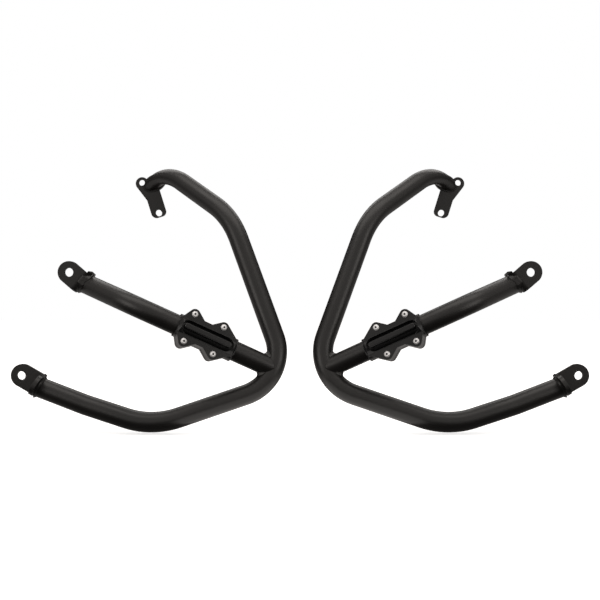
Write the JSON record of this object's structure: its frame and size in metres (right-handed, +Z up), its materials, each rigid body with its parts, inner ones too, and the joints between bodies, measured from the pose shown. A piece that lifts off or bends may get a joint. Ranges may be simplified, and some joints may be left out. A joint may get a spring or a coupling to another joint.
{
  "type": "motorcycle crash bars",
  "caption": "Left and right bent-tube crash bars for a motorcycle, with braced loops, drilled mounting plates and clamped moulded sliders that guard the engine in a fall.",
  "frame": {"origin": "centre of the box round the pair, on the mirror plane between the bars", "axes": "+X across the pair towards the right bar, +Y in towards the motorcycle, +Z up"},
  "size_m": [0.73, 0.2138, 0.3452],
  "materials": {
    "powder_coat": "black satin powder coat",
    "moulded_plastic": "black moulded nylon with a low sheen",
    "bright_steel": "bright plated steel"
  },
  "bodies": {
    "root": {"left_main_tube": "powder_coat", "left_strut_tube": "powder_coat", "left_top_plate": "powder_coat", "left_middle_bracket": "powder_coat", "left_bottom_bracket": "powder_coat", "left_top_weld": "powder_coat", "left_middle_weld": "powder_coat", "left_bottom_weld": "powder_coat", "left_strut_weld": "powder_coat", "left_slider_shell": "moulded_plastic", "left_slider_clamp": "moulded_plastic", "left_slider_screws": "bright_steel", "left_slider_nuts": "bright_steel", "right_main_tube": "powder_coat", "right_strut_tube": "powder_coat", "right_top_plate": "powder_coat", "right_middle_bracket": "powder_coat", "right_bottom_bracket": "powder_coat", "right_top_weld": "powder_coat", "right_middle_weld": "powder_coat", "right_bottom_weld": "powder_coat", "right_strut_weld": "powder_coat", "right_slider_shell": "moulded_plastic", "right_slider_clamp": "moulded_plastic", "right_slider_screws": "bright_steel", "right_slider_nuts": "bright_steel"}
  },
  "joints": []
}
